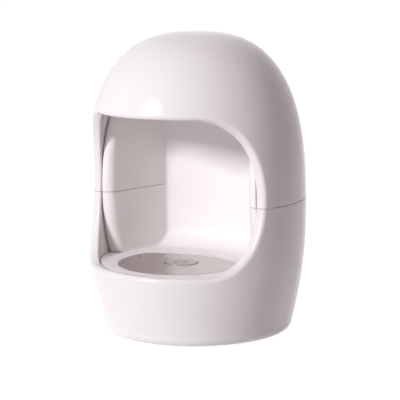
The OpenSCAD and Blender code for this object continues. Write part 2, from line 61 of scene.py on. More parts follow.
# %% [markdown]
# ## The camera
# The photograph was taken from the lamp's front right, a little above the table, with a long lens.
# A long lens far away keeps the joint line and the rim almost parallel, as they are in the photo.
# The camera looks slightly past the lamp's axis, because the lamp stands a few pixels off centre.

# %% Place the camera
CAMERA_AZIMUTH = math.radians(36.28)
CAMERA_ELEVATION = math.radians(9.15)
CAMERA_DISTANCE = 0.566
CAMERA_ROLL = math.radians(-0.55)
FOCAL_LENGTH = 165.6
SENSOR_WIDTH = 36
AIM_RIGHT = 1.21
AIM_DOWN = 1.47
look_at = Vector((0, 0, 41.7 * MM))
backwards = Vector((math.sin(CAMERA_AZIMUTH) * math.cos(CAMERA_ELEVATION),
                    -math.cos(CAMERA_AZIMUTH) * math.cos(CAMERA_ELEVATION),
                    math.sin(CAMERA_ELEVATION)))
rightwards = Vector((math.cos(CAMERA_AZIMUTH), math.sin(CAMERA_AZIMUTH), 0))
upwards = backwards.cross(rightwards)
camera = bpy.data.objects.new("camera", bpy.data.cameras.new("camera"))
bpy.context.scene.collection.objects.link(camera)
camera.data.lens = FOCAL_LENGTH
camera.data.sensor_width = SENSOR_WIDTH
camera.location = look_at + backwards * CAMERA_DISTANCE
aim = look_at + rightwards * AIM_RIGHT * MM - upwards * AIM_DOWN * MM - camera.location
camera.rotation_mode = "QUATERNION"
camera.rotation_quaternion = aim.to_track_quat("-Z", "Y") @ Quaternion((0, 0, 1), CAMERA_ROLL)
camera.data.clip_start = 0.05
bpy.context.scene.camera = camera
bpy.context.scene.view_settings.view_transform = "Standard"
print("camera at", [round(v, 3) for v in camera.location])

# %% [markdown]
# ## Writing shader maths as expressions
# A material is a graph of nodes, and graphs are slow to read. One small class wraps a socket, so
# that `1 - mask * 0.2` adds the Math nodes for it. Colours go through Mix nodes, because a Math
# node would turn them grey. Every other node comes from one method, for materials and for the
# world alike.


# %% A socket that can be calculated with
class Signal:
    """One output socket of a node, with the arithmetic that a shader needs."""

    def __init__(self, finish, socket):
        self.finish = finish
        self.socket = socket

    def maths(self, operation, a, b):
        return self.finish.add("ShaderNodeMath", {"operation": operation}, {0: a, 1: b})

    def __add__(self, other):
        return self.maths("ADD", self, other)

    def __sub__(self, other):
        return self.maths("SUBTRACT", self, other)

    def __mul__(self, other):
        return self.maths("MULTIPLY", self, other)

    def __rsub__(self, other):
        return self.maths("SUBTRACT", other, self)

    __radd__ = __add__
    __rmul__ = __mul__

    def between(self, low, high, out_low=0.0, out_high=1.0):
        return self.finish.add("ShaderNodeMapRange", {"clamp": True},
                               {"Value": self, "From Min": low, "From Max": high,
                                "To Min": out_low, "To Max": out_high})


class Finish:
    """The nodes of a material or of the world, built up one by one."""

    def __init__(self, name, world=False):
        self.owner = (bpy.data.worlds if world else bpy.data.materials).new(name)
        self.owner.use_nodes = True
        self.tree = self.owner.node_tree
        self.tree.nodes.clear()
        self.output = self.tree.nodes.new("ShaderNodeOutput" + ("World" if world else "Material"))

    def feed(self, socket, value):
        if isinstance(value, Signal):
            self.tree.links.new(value.socket, socket)
        else:
            socket.default_value = value

    def add(self, kind, settings=None, inputs=None, output=0):
        node = self.tree.nodes.new(kind)
        for name, value in (settings or {}).items():
            setattr(node, name, value)
        for name, value in (inputs or {}).items():
            self.feed(node.inputs[name], value)
        return Signal(self, node.outputs[output])

    def where(self):
        """Place in the row frame, in metres. Bodies and pieces sit at the origin at rest."""
        return self.add("ShaderNodeTexCoord", output="Object")

    def noise(self, scale, detail, roughness=0.5):
        return self.add("ShaderNodeTexNoise", {},
                        {"Vector": self.where(), "Scale": scale, "Detail": detail,
                         "Roughness": roughness})

    def blend(self, mask, colour_a, colour_b):
        a, b = ((*c, 1) if isinstance(c, tuple) else c for c in (colour_a, colour_b))
        return self.add("ShaderNodeMix", {"data_type": "RGBA"},
                        {"Factor": mask, 6: a, 7: b}, output=2)

    def bump(self, height, strength, distance):
        return self.add("ShaderNodeBump", {},
                        {"Height": height, "Strength": strength, "Distance": distance})

    def seen(self):
        """1 for what the camera, a mirror or clear plastic sees, and 0 for what gathers light."""
        either = self.add("ShaderNodeLightPath", output="Is Camera Ray")
        for ray in ("Is Glossy Ray", "Is Transmission Ray"):
            also = self.add("ShaderNodeLightPath", output=ray)
            either = self.add("ShaderNodeMath", {"operation": "MAXIMUM"}, {0: either, 1: also})
        return either

    def show(self, shader):
        self.tree.links.new(shader.socket, self.output.inputs["Surface"])
        return self.owner

    def surface(self, **inputs):
        named = {key.replace("_", " ").title().replace("Ior", "IOR"): value
                 for key, value in inputs.items()}
        return self.show(self.add("ShaderNodeBsdfPrincipled", {}, named))


# %% [markdown]
# ## Light, background and table
# The photo is a studio shot on a pure white background. A tall softbox in front of the lamp makes
# the long highlight on the hood: it is only mirrored and lights nothing. A smaller fill lamp close
# to it lights the plastic and throws the hood's shadow into the opening. Weak lamps above and
# behind keep the far side readable, and a dim, pinkish room fills the shade. The room is much darker
# than the background looks. Light Path tells the two apart: what the camera and the reflections see
# is white, and what lights the plastic is the room.

# %% Room light and white background
ROOM_LEVEL = 0.18
ROOM_TINT = (1.0, 0.70, 0.74)
WHITE = (1, 1, 1)
sky = Finish("studio", world=True)
bpy.context.scene.world = sky.owner
room_colour = tuple(c * ROOM_LEVEL for c in ROOM_TINT)
sky_colour = sky.blend(sky.seen(), room_colour, WHITE)
sky.show(sky.add("ShaderNodeBackground", {}, {"Color": sky_colour}))
print("room colour", [round(c, 3) for c in room_colour])

# %% Softboxes
LAMP_AIM_Z = 45
LAMP_COLOUR = (0.97, 1.0, 1.0)


def softbox(name, azimuth, elevation, distance, width, height, power, mirrored=True):
    """A rectangular lamp that looks at the middle of the opening. Its lengths are in metres."""
    lamp = bpy.data.objects.new(name, bpy.data.lights.new(name, "AREA"))
    bpy.context.scene.collection.objects.link(lamp)
    lamp.data.shape = "RECTANGLE"
    lamp.data.size = width
    lamp.data.size_y = height
    lamp.data.energy = power
    lamp.visible_glossy = mirrored
    a, e = math.radians(azimuth), math.radians(elevation)
    towards = Vector((math.sin(a) * math.cos(e), -math.cos(a) * math.cos(e), math.sin(e)))
    lamp.location = Vector((0, 0, LAMP_AIM_Z * MM)) + towards * distance
    lamp.rotation_mode = "QUATERNION"
    lamp.rotation_quaternion = towards.to_track_quat("Z", "Y")
    return lamp


key_light = softbox("key_light", azimuth=-16, elevation=20, distance=0.8,
                    width=0.22, height=0.38, power=3.2)
key_light.visible_diffuse = False
fill_light = softbox("fill_light", azimuth=-9, elevation=21.5, distance=1.0,
                     width=0.2, height=0.16, power=7.1, mirrored=False)
top_light = softbox("top_light", azimuth=0, elevation=72, distance=0.9,
                    width=0.5, height=0.5, power=1.3, mirrored=False)
rear_light = softbox("rear_light", azimuth=226, elevation=35, distance=0.9,
                     width=0.5, height=0.5, power=1.0, mirrored=False)
lamps = (key_light, fill_light, top_light, rear_light)
for lamp in lamps:
    lamp.data.color = LAMP_COLOUR
print("lamp powers", [round(lamp.data.energy, 2) for lamp in lamps])

# %% A pale table top
TABLE_GLOW = 0.9
TABLE_COLOUR = (0.8, 0.8, 0.8, 1)
TABLE_HALF = 30
table_finish = Finish("table_white")
table_glow = table_finish.add("ShaderNodeEmission", {},
                              {"Color": (*WHITE, 1), "Strength": TABLE_GLOW})
table_plain = table_finish.add("ShaderNodeBsdfDiffuse", {}, {"Color": TABLE_COLOUR})
table_lit = table_finish.add("ShaderNodeAddShader", {}, {0: table_glow, 1: table_plain})
table_finish.show(table_finish.add("ShaderNodeMixShader", {},
                                   {0: table_finish.seen(), 1: table_plain, 2: table_lit}))
table_corners = [(x * TABLE_HALF, y * TABLE_HALF, 0)
                 for x, y in ((-1, -1), (1, -1), (1, 1), (-1, 1))]
table_mesh = bpy.data.meshes.new("table")
table_mesh.from_pydata(table_corners, [], [(0, 1, 2, 3)])
table = bpy.data.objects.new("table", table_mesh)
bpy.context.scene.collection.objects.link(table)
table_mesh.materials.append(table_finish.owner)
print("table top", 2 * TABLE_HALF, "m wide")

# %% [markdown]
# ## The white plastics
# The shells are glossy moulded plastic with a faint pink warmth. Real gloss is never perfect: the
# mould leaves a very slight waviness, and handling leaves faint smears. Low noise on roughness
# and a tiny bump give both. The reflector and the liners are a little paler and much less glossy,
# because they are there to spread light.


# %% Make a white plastic
def white_plastic(name, colour, shade, roughness, coat):
    finish = Finish(name)
    cloud = finish.noise(55, 3)
    smear = finish.noise(210, 4, 0.6)
    grain = finish.noise(2600, 2)
    mixed = finish.blend(cloud.between(0.35, 0.7), colour, shade)
    smeared = smear.between(0.3, 0.75, roughness * 0.85, roughness * 1.2)
    skin = finish.bump(cloud * 0.8 + smear * 0.15 + grain * 0.02, strength=0.1, distance=0.0004)
    return finish.surface(base_color=mixed, roughness=smeared, normal=skin, ior=1.42,
                          coat_weight=coat, coat_roughness=0.06)


shell_white = white_plastic("shell_white", (0.87, 0.83, 0.83), (0.855, 0.815, 0.815),
                            roughness=0.15, coat=0.1)
reflector_white = white_plastic("reflector_white", (0.93, 0.89, 0.895), (0.92, 0.88, 0.885),
                                roughness=0.42, coat=0.0)
liner_white = white_plastic("liner_white", (0.92, 0.87, 0.875), (0.905, 0.855, 0.86),
                            roughness=0.36, coat=0.05)
print("white plastics:", shell_white.name, reflector_white.name, liner_white.name)

# %% [markdown]
# ## The egg's outline
# The body is a body of revolution. Below its widest ring the side is a long arc that ends in a
# small bottom radius, and above it a superellipse makes the full dome. The CAD uses the same
# rule. Here it is a dense table of points with their tangents, from which the normals follow, so
# that a vertex can be put exactly on the surface wherever the mesh needs it.

# %% Sizes of the shells, in millimetres
BODY_R = 34.0
BODY_H = 92.0
WAIST_Z = 38.0
DOME_POWER = 2.7
SIDE_ARC_R = 135.0
CORNER_R = 3.0
FOOT_Z = 0.6
WALL = 3.0
PARTING_Z = 41.6
SEAM = 0.15
RIM_Z = 68.3
SILL_Z = 22.0
CUT_BACK_Y = -10.2
CUT_ROUND_Y = 14.0
CUT_MID_Z = (RIM_Z + SILL_Z) / 2
COVER_HOLE_R = 24.6
INSIDE_Z = 3.2
DOME_POINTS = 900
FLAT_POINTS = 12
CORNER_POINTS = 40
CUP_TOP_Z = 52


def side_radius(z, inset):
    """Radius of the side's long arc at a height, inset from the outside."""
    z = np.asarray(z, float)
    return BODY_R - inset - SIDE_ARC_R + np.sqrt(SIDE_ARC_R**2 - (WAIST_Z - z) ** 2)


def profile_table(parts):
    """Joins runs of (r, z) points into one line with its length and tangents."""
    line = [parts[0]]
    for run in parts[1:]:
        line.append(run[1:])
    line = np.concatenate(line)
    steps = np.hypot(*np.diff(line, axis=0).T)
    length = np.concatenate([[0], np.cumsum(steps)])
    tangent = np.gradient(line, length, axis=0)
    tangent /= np.linalg.norm(tangent, axis=1)[:, None]
    return {"line": line, "length": length, "tangent": tangent}


def dome_run(inset, lowest_z):
    """From the crown down to a height, on the dome and then on the side."""
    t = np.linspace(math.pi / 2, 0, DOME_POINTS)
    r = (BODY_R - inset) * np.cos(t).clip(0) ** (2 / DOME_POWER)
    z = WAIST_Z + (BODY_H - inset - WAIST_Z) * np.sin(t).clip(0) ** (2 / DOME_POWER)
    dome = np.stack([r, z], 1)
    dome[0] = (0, BODY_H - inset)
    if lowest_z < WAIST_Z:
        zs = np.linspace(WAIST_Z, lowest_z, 60)
        side = np.stack([side_radius(zs, inset), zs], 1)
        return np.concatenate([dome, side[1:]])
    return dome[dome[:, 1] >= lowest_z - 0.5]


HOOD_LOWEST_Z = 30
hood_outside = profile_table([dome_run(0, HOOD_LOWEST_Z)])
hood_inside = profile_table([dome_run(WALL, HOOD_LOWEST_Z)])
print("dome table:", len(hood_outside["line"]), "points,",
      round(hood_outside["length"][-1], 1), "mm long")


# %% Outline of the cup, from its bottom hole outwards and up
def cup_run(inset):
    """Runs of points from the cover's hole to a little above the joint line."""
    if inset == 0:
        top_of_corner = FOOT_Z + CORNER_R
        edge_r = float(side_radius(top_of_corner, 0))
        t = np.linspace(0, math.pi / 2, CORNER_POINTS)
        corner = np.stack([edge_r - CORNER_R + CORNER_R * np.sin(t),
                           FOOT_Z + CORNER_R - CORNER_R * np.cos(t)], 1)
        flat = np.stack([np.linspace(COVER_HOLE_R, corner[0, 0], FLAT_POINTS),
                         np.full(FLAT_POINTS, FOOT_Z)], 1)
        start_z = top_of_corner
        before = [flat, corner]
    else:
        start_z = INSIDE_Z
        edge_r = float(side_radius(start_z, inset))
        before = [np.stack([np.linspace(COVER_HOLE_R, edge_r, FLAT_POINTS),
                            np.full(FLAT_POINTS, INSIDE_Z)], 1)]
    zs = np.linspace(start_z, WAIST_Z, 120)
    side = np.stack([side_radius(zs, inset), zs], 1)
    upper = dome_run(inset, WAIST_Z)[::-1]
    upper = upper[upper[:, 1] < CUP_TOP_Z]
    return before + [side, upper]


cup_outside = profile_table(cup_run(0))
cup_inside = profile_table(cup_run(WALL))
print("cup table:", len(cup_outside["line"]), "points")

# %% [markdown]
# ## The two shells
# The opening is a C-shaped outline carried straight across the egg, with a soft edge about a
# millimetre in radius. A Boolean cut would leave ragged triangles along that edge, and a Bevel
# on them would break up. So each shell is woven instead: lines run over the outside from the
# crown or the foot to the opening, roll round the edge as a ball of the edge's radius would,
# cross the cut face, and run back on the inside. The joint line gets a crisp, tiny radius.


# %% The cut's outline, seen from the side
def joint_z(upper):
    """Height of the joint face of the hood or of the cup."""
    return PARTING_Z + SEAM if upper else PARTING_Z


def cut_outline(upper, samples):
    """Points (y, z) on the rounded end of the opening, with the direction into the plastic."""
    half = (RIM_Z - SILL_Z) / 2
    start_y = CUT_BACK_Y - CUT_ROUND_Y
    start = math.pi / 2 if upper else -math.pi / 2
    stop = math.asin((joint_z(upper) - CUT_MID_Z) / half)
    t = np.linspace(start, stop, samples)
    y = start_y + CUT_ROUND_Y * np.cos(t)
    z = CUT_MID_Z + half * np.sin(t)
    into = np.stack([np.cos(t) / CUT_ROUND_Y, np.sin(t) / half], 1)
    into /= np.linalg.norm(into, axis=1)[:, None]
    return np.stack([y, z], 1), into


def on_profile(profile, along):
    """(r, z) at a length along the profile."""
    line = profile["line"]
    return (np.interp(along, profile["length"], line[:, 0]),
            np.interp(along, profile["length"], line[:, 1]))


class SideFit:
    """The profile's side as functions of height, for finding where the opening's edge meets it."""

    def __init__(self, profile, lowest, highest, outward):
        line, tangent = profile["line"], profile["tangent"]
        keep = (line[:, 1] > lowest) & (line[:, 1] < highest) & (line[:, 0] > 12)
        order = np.argsort(line[keep, 1])
        self.z = line[keep, 1][order]
        self.r = line[keep, 0][order]
        self.length = profile["length"][keep][order]
        normal = np.stack([tangent[:, 1], -tangent[:, 0]], 1)
        normal = np.where(normal[:, :1] < 0, -normal, normal)
        self.normal = normal[keep][order] * outward

    def ball(self, z, radius):
        """Radius, normal and length of the ring that a ball resting inside the wall touches."""
        z_ball = self.z - radius * self.normal[:, 1]
        r_ball = self.r - radius * self.normal[:, 0]
        order = np.argsort(z_ball)
        return [np.interp(z, z_ball[order], column[order])
                for column in (r_ball, self.normal[:, 0], self.normal[:, 1], self.length)]


print("cut outline starts at", cut_outline(True, 5)[0][0].round(2))


# %% Where the edge of one shell runs
WEAVE_STEPS = 34
ARRIVAL = 0.9


def edge_sections(fit, upper, edge_r, seam_r, samples):
    """For each place along the edge: the ball's middle, its touch normal and the cut's normal."""
    flat_z = RIM_Z if upper else SILL_Z
    sign = 1 if upper else -1
    outline, into = cut_outline(upper, samples["round"])
    rows = []
    z = flat_z + sign * edge_r
    r, nr, nz, length = fit.ball(z, edge_r)
    turn = math.acos(min(1, -outline[0, 0] / r))
    for a in np.linspace(0, turn, samples["flat"])[:-1]:
        rows.append((r * math.sin(a), -r * math.cos(a), z, nr, nz, length, 0, sign, edge_r))
    for (y, z0), (my, mz) in zip(outline, into):
        yc, zc = y + edge_r * my, z0 + edge_r * mz
        r, nr, nz, length = fit.ball(zc, edge_r)
        xc = math.sqrt(max(r * r - yc * yc, 0))
        rows.append((xc, yc, zc, nr, nz, length, my, mz, edge_r))
    touch_x = xc + edge_r * nr * xc / r
    touch_y = yc + edge_r * nr * yc / r
    first = math.atan2(touch_x, -touch_y)
    back = np.linspace(first, math.pi, samples["back"])
    for i, a in enumerate(back):
        size = seam_r * min(1, i / 2)
        z = joint_z(upper) + sign * size
        r, nr, nz, length = fit.ball(z, size)
        rows.append((r * math.sin(a), -r * math.cos(a), z, nr, nz, length, 0, sign, size))
    return np.array(rows), samples["flat"] - 1 + samples["round"]


def round_edge(rows, steps):
    """Points of the rolled edge for each section, from the wall to the cut face."""
    x, y, z, nr, nz, _, my, mz, size = rows.T
    ring = np.hypot(x, y)
    ring = np.where(ring < 1e-9, 1, ring)
    wall_normal = np.stack([nr * x / ring, nr * y / ring, nz], 1)
    face_normal = np.stack([np.zeros_like(my), -my, -mz], 1)
    centre = np.stack([x, y, z], 1)
    angle = np.arccos(np.clip((wall_normal * face_normal).sum(1), -1, 1))
    out = []
    for k in range(steps + 1):
        f = k / steps
        a = np.sin((1 - f) * angle) / np.sin(angle)
        b = np.sin(f * angle) / np.sin(angle)
        out.append(centre + size[:, None] * (a[:, None] * wall_normal + b[:, None] * face_normal))
    return np.stack(out, 1)


def weave_side(profile, rows, touch, pole_share, fixed):
    """Lines over the wall from the crown or foot to each touch point of the edge."""
    _, _, _, nr, nz, length, my, mz, _ = rows.T
    angle_end = np.arctan2(touch[:, 0], -touch[:, 1])
    radius = BODY_R
    start = np.stack([pole_share * math.pi * radius, np.full(len(rows), fixed[-1])], 1)
    end = np.stack([angle_end * radius, length], 1)
    tangent_r = np.interp(length, profile["length"], profile["tangent"][:, 0])
    tangent_z = np.interp(length, profile["length"], profile["tangent"][:, 1])
    inwards = np.stack([my * np.sin(angle_end),
                        -my * tangent_r * np.cos(angle_end) + mz * tangent_z], 1)
    inwards /= np.linalg.norm(inwards, axis=1)[:, None]
    reach = np.linalg.norm(end - start, axis=1)[:, None]
    leave = np.stack([np.zeros(len(rows)), np.ones(len(rows))], 1) * reach
    arrive = -inwards * reach * ARRIVAL
    points = []
    for along in fixed[:-1]:
        points.append(np.stack([start[:, 0], np.full(len(rows), along)], 1))
    for k in range(WEAVE_STEPS):
        t = (k / WEAVE_STEPS) ** 0.85
        points.append((2 * t**3 - 3 * t**2 + 1) * start + (t**3 - 2 * t**2 + t) * leave
                      + (-2 * t**3 + 3 * t**2) * end + (t**3 - t**2) * arrive)
    flat = np.stack(points, 1)
    r, z = on_profile(profile, flat[:, :, 1])
    a = flat[:, :, 0] / radius
    return np.stack([r * np.sin(a), -r * np.cos(a), z], 2)


# %% Turn half a weave into a whole, closed piece
def mesh_piece(name, body, vertices, faces, material, sharp=40):
    mesh = bpy.data.meshes.new(name)
    mesh.from_pydata([tuple(v) for v in vertices], [], [tuple(f) for f in faces])
    bm = bmesh.new()
    bm.from_mesh(mesh)
    bmesh.ops.remove_doubles(bm, verts=bm.verts, dist=2e-6)
    bmesh.ops.dissolve_degenerate(bm, edges=bm.edges, dist=1e-6)
    bmesh.ops.recalc_face_normals(bm, faces=bm.faces)
    bm.to_mesh(mesh)
    open_edges = sum(1 for e in bm.edges if len(e.link_faces) != 2)
    bm.free()
    mesh.shade_smooth()
    mesh.set_sharp_from_angle(angle=math.radians(sharp))
    mesh.materials.append(material)
    piece = bpy.data.objects.new(name, mesh)
    bpy.context.scene.collection.objects.link(piece)
    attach(piece, body)
    print(name, len(mesh.vertices), "vertices,", open_edges, "open edges")
    return piece


def grid_faces(rows, columns, offset=0, flip=False):
    faces = []
    for i in range(rows - 1):
        for j in range(columns - 1):
            a = offset + i * columns + j
            quad = (a, a + 1, a + columns + 1, a + columns)
            faces.append(quad[::-1] if flip else quad)
    return faces


def mirror_grid(grid, close):
    """A section grid and its mirror image in X. close joins each section's two ends."""
    if close:
        grid = np.concatenate([grid, grid[:, :1]], 1)
    rows, columns = grid.shape[:2]
    right = grid.reshape(-1, 3) * MM
    left = right * np.array([-1, 1, 1])
    faces = grid_faces(rows, columns) + grid_faces(rows, columns, len(right), True)
    return np.concatenate([right, left]), faces


# %% Weave the hood and the cup
OUTER_EDGE_R = 1.25
INNER_EDGE_R = 0.5
OUTER_JOINT_R = 0.12
INNER_JOINT_R = 0.08
OUTER_STEPS = 7
INNER_STEPS = 4
SMOOTHING = 6


def weave_shell(outside, inside, upper, outside_fixed, inside_fixed):
    """Lines over the outside, round the edge and back inside, and then their mirror image."""
    lowest, highest = (31, 91) if upper else (4, 51)
    samples = {"flat": 26, "round": 46, "back": 64}
    outer_fit = SideFit(outside, lowest, highest, 1)
    inner_fit = SideFit(inside, lowest, highest, -1)
    outer_rows, turn = edge_sections(outer_fit, upper, OUTER_EDGE_R, OUTER_JOINT_R, samples)
    inner_rows, _ = edge_sections(inner_fit, upper, INNER_EDGE_R, INNER_JOINT_R, samples)
    count = len(outer_rows)
    progress = np.arange(count) / (count - 1)
    corner = turn / (count - 1)
    share = np.interp(progress, [0, (samples["flat"] - 1) / (count - 1), corner, 1],
                      [0, 0.215, 0.60, 1.0])
    window = 2 * SMOOTHING + 1
    share = np.convolve(np.pad(share, SMOOTHING, mode="reflect", reflect_type="odd"),
                        np.ones(window) / window, "valid")
    share = (share - share[0]) / (share[-1] - share[0])
    outer_arc = round_edge(outer_rows, OUTER_STEPS)
    inner_arc = round_edge(inner_rows, INNER_STEPS)
    for arc in (outer_arc, inner_arc):
        arc[turn - 1, :, 2] = joint_z(upper)
        arc[turn, 0] = arc[turn - 1, 0]
    outer_wall = weave_side(outside, outer_rows, outer_arc[:, 0], share, outside_fixed)
    inner_wall = weave_side(inside, inner_rows, inner_arc[:, 0], share, inside_fixed)
    face = (outer_arc[:, -1] + inner_arc[:, -1])[:, None] / 2
    grid = np.concatenate([outer_wall, outer_arc, face, inner_arc[:, ::-1],
                           inner_wall[:, ::-1]], 1)
    grid[0, :, 0] = 0
    grid[-1, :, 0] = 0
    return mirror_grid(grid, not upper)


hood_verts, hood_faces = weave_shell(hood_outside, hood_inside, True,
                                     np.linspace(0, 15, 14), np.linspace(0, 12, 10))
hood = mesh_piece("hood", "housing", hood_verts, hood_faces, shell_white)
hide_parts("upper_shell")
corner_at = cup_outside["length"][FLAT_POINTS - 1]
corner_length = math.pi * 1.5
cup_fixed = np.concatenate([[0, corner_at * 0.5], corner_at + np.linspace(0, corner_length, 11),
                            corner_at + corner_length + np.array([0.5, 1.5, 3.0])])
inner_corner = cup_inside["length"][FLAT_POINTS - 1]
cup_inner_fixed = np.array([0, inner_corner * 0.5, inner_corner, inner_corner + 1.5,
                            inner_corner + 3.0])
cup_verts, cup_faces = weave_shell(cup_outside, cup_inside, False, cup_fixed, cup_inner_fixed)
cup = mesh_piece("cup", "housing", cup_verts, cup_faces, shell_white)
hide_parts("lower_shell")

# %% [markdown]
# ## The power inlet
# The inlet's metal shell stands in a sunk, round-ended recess at the rear of the cup. The hole is
# small and lies far from the soft rim, so weaving it into the mesh isn't worth it. Two Boolean cuts
# with a round-ended bar make it: a wide one for the recess, and a narrow one for the inlet itself.


# %% A Boolean cut that is applied at once
def cut_from(piece, cutter):
    modifier = piece.modifiers.new("cut", "BOOLEAN")
    modifier.operation = "DIFFERENCE"
    modifier.solver = "EXACT"
    modifier.object = cutter
    evaluated = piece.evaluated_get(bpy.context.evaluated_depsgraph_get())
    mesh = bpy.data.meshes.new_from_object(evaluated)
    piece.modifiers.remove(modifier)
    old = piece.data
    piece.data = mesh
    bpy.data.meshes.remove(old)
    bpy.data.objects.remove(cutter)
    mesh.name = piece.name
    mesh.shade_smooth()
    mesh.set_sharp_from_angle(angle=math.radians(40))


def racetrack_bar(width, height, y_start, y_stop, z):
    """A bar along Y with round ends, as the power inlet needs it."""
    half = (width - height) / 2
    ring = []
    for side in (1, -1):
        for a in np.linspace(-math.pi / 2, math.pi / 2, 17):
            ring.append((side * (half + height / 2 * math.cos(a)), side * height / 2 * math.sin(a)))
    count = len(ring)
    verts = [(x * MM, y * MM, (z + h) * MM) for y in (y_start, y_stop) for x, h in ring]
    faces = [(i, count + i, count + (i + 1) % count, (i + 1) % count) for i in range(count)]
    faces += [tuple(range(count)), tuple(range(count, 2 * count))[::-1]]
    mesh = bpy.data.meshes.new("bar")
    mesh.from_pydata(verts, [], faces)
    bar = bpy.data.objects.new("bar", mesh)
    bpy.context.scene.collection.objects.link(bar)
    bpy.context.view_layer.update()
    return bar


# %% Cut the recess and the hole
RECESS_ROOM = 3.0
HOLE_ROOM = 0.4
RECESS_BEHIND = 0.05
HOLE_DEPTH = 5
PAST_CUP_Y = BODY_R + 5
inlet_low, inlet_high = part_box("usb_shell")
inlet_z = (inlet_low.z + inlet_high.z) / 2 / MM
inlet_w = (inlet_high.x - inlet_low.x) / MM
inlet_h = (inlet_high.z - inlet_low.z) / MM
inlet_face = inlet_high.y / MM
cut_from(cup, racetrack_bar(inlet_w + RECESS_ROOM, inlet_h + RECESS_ROOM,
                            inlet_face + RECESS_BEHIND, PAST_CUP_Y, inlet_z))
cut_from(cup, racetrack_bar(inlet_w + HOLE_ROOM, inlet_h + HOLE_ROOM,
                            inlet_face - HOLE_DEPTH, PAST_CUP_Y, inlet_z))
print("cup with its inlet:", len(cup.data.vertices), "vertices")

# %% [markdown]
# ## The side walls inside the opening
# Each liner has a left and a right wall. Its front edge is a lip that turns outwards to meet the
# shell, with a full, soft corner. Seen from the side the lip is a long arc. A loft suits this: the
# plan outline is worked out at each height and the outlines are skinned. The ceiling and the ring
# below the floor are flat work, so they are kept from the CAD mesh.

# %% Plan outline of one side wall
LINER = 2.0
LINER_GAP = 0.3
SIDE_FRONT_X = 25.9
SIDE_BACK_X = 21.1
SIDE_END_Y = 15.6
BACK_Y = 19.5
BACK_R = 46.0
LIP_ARC_R = 80.0
LIP_CORNER = 2.9
LIP_SHARE = 0.93
LIP_CHAMFER = 0.15
CEILING_Z = 69.3
SIDE_LEAN = math.atan2(SIDE_FRONT_X - SIDE_BACK_X, BACK_Y - CUT_BACK_Y)


def shell_inner_radius(z):
    inset = WALL + LINER_GAP
    if z < WAIST_Z:
        return float(side_radius(z, inset))
    share = (z - WAIST_Z) / (BODY_H - inset - WAIST_Z)
    return (BODY_R - inset) * (1 - share**DOME_POWER) ** (1 / DOME_POWER)


def wall_x(y, out):
    """X of the wall's inner face at a depth, moved outwards by out."""
    return SIDE_FRONT_X - math.tan(SIDE_LEAN) * (y - CUT_BACK_Y) + out


def wall_plan(z):
    """The wall's closed outline at a height: lip, inner face and outer face."""

    def shell_x(y):
        return math.sqrt(shell_inner_radius(z) ** 2 - y**2)

    lip_y = CUT_BACK_Y + SEAM + LIP_ARC_R - math.sqrt(LIP_ARC_R**2 - (CUT_MID_Z - z) ** 2)
    out_x = shell_x(lip_y)
    corner = min(LIP_CORNER, LIP_SHARE * (out_x - wall_x(lip_y, 0)))
    centre_y = lip_y + corner
    lean_shift = (corner - (centre_y - CUT_BACK_Y) * math.sin(SIDE_LEAN)) / math.cos(SIDE_LEAN)
    centre_x = SIDE_FRONT_X + lean_shift
    ring = [(out_x, lip_y + LIP_CHAMFER), (out_x - LIP_CHAMFER, lip_y)]
    for a in np.linspace(-math.pi / 2, -math.pi + SIDE_LEAN, 13):
        ring.append((centre_x + corner * math.cos(a), centre_y + corner * math.sin(a)))
    for y in np.linspace(centre_y + 1, SIDE_END_Y, 9):
        ring.append((wall_x(y, 0), y))
    behind_lip = lip_y + LINER
    for y in np.linspace(SIDE_END_Y, behind_lip + 0.7, 6):
        ring.append((min(wall_x(y, LINER), shell_x(y)), y))
    ring.append((min(wall_x(behind_lip, LINER) + 0.5, shell_x(behind_lip) - 0.12), behind_lip))
    ring.append((shell_x(behind_lip), behind_lip))
    return ring


print("a wall's outline has", len(wall_plan(CUT_MID_Z)), "points")


# %% Loft the side walls and keep the flat work
WALL_RINGS = 30
WALL_FOOT_Z = 19.6
RING_TOP_Z = 19.78
CEILING_CUT_Z = CEILING_Z + 0.06
ABOVE_ALL_Z = 90


def skin_rings(rings):
    """Skins closed rings of (x, y, z) points, caps both ends and adds the mirror image in X."""
    verts, faces = [], []
    count = len(rings[0])
    for mirror in (1, -1):
        start = len(verts)
        for ring in rings:
            verts += [(mirror * x * MM, y * MM, z * MM) for x, y, z in ring]
        for i in range(len(rings) - 1):
            for j in range(count):
                a, b = start + i * count + j, start + i * count + (j + 1) % count
                faces.append((a, b, b + count, a + count))
        last = start + (len(rings) - 1) * count
        faces.append(tuple(range(start, start + count)))
        faces.append(tuple(range(last, last + count)))
    return verts, faces


def side_walls(name, node, z_low, z_high, keep_low, keep_high):
    """Both walls of a liner, joined to the part of its CAD mesh between two heights."""
    rings = [[(x, y, z) for x, y in wall_plan(z)] for z in np.linspace(z_low, z_high, WALL_RINGS)]
    verts, faces = skin_rings(rings)
    piece = mesh_piece(name, "housing", verts, faces, liner_white, 30)
    flat_work = bmesh.new()
    flat_work.from_mesh(nodes[node].data)
    bmesh.ops.remove_doubles(flat_work, verts=flat_work.verts, dist=1e-6)
    for z, side in ((keep_low, "clear_inner"), (keep_high, "clear_outer")):
        geometry = flat_work.verts[:] + flat_work.edges[:] + flat_work.faces[:]
        bmesh.ops.bisect_plane(flat_work, geom=geometry, plane_co=(0, 0, z * MM),
                               plane_no=(0, 0, 1), **{side: True})
    rim = [e for e in flat_work.edges if e.is_boundary]
    bmesh.ops.holes_fill(flat_work, edges=rim, sides=0)
    flat_work.from_mesh(piece.data)
    flat_work.to_mesh(piece.data)
    flat_work.free()
    piece.data.shade_smooth()
    piece.data.set_sharp_from_angle(angle=math.radians(30))
    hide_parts(node)


side_walls("upper_walls", "upper_liner", joint_z(True), CEILING_Z, CEILING_CUT_Z, ABOVE_ALL_Z)
side_walls("lower_walls", "lower_liner", WALL_FOOT_Z, joint_z(False), 0, RING_TOP_Z)

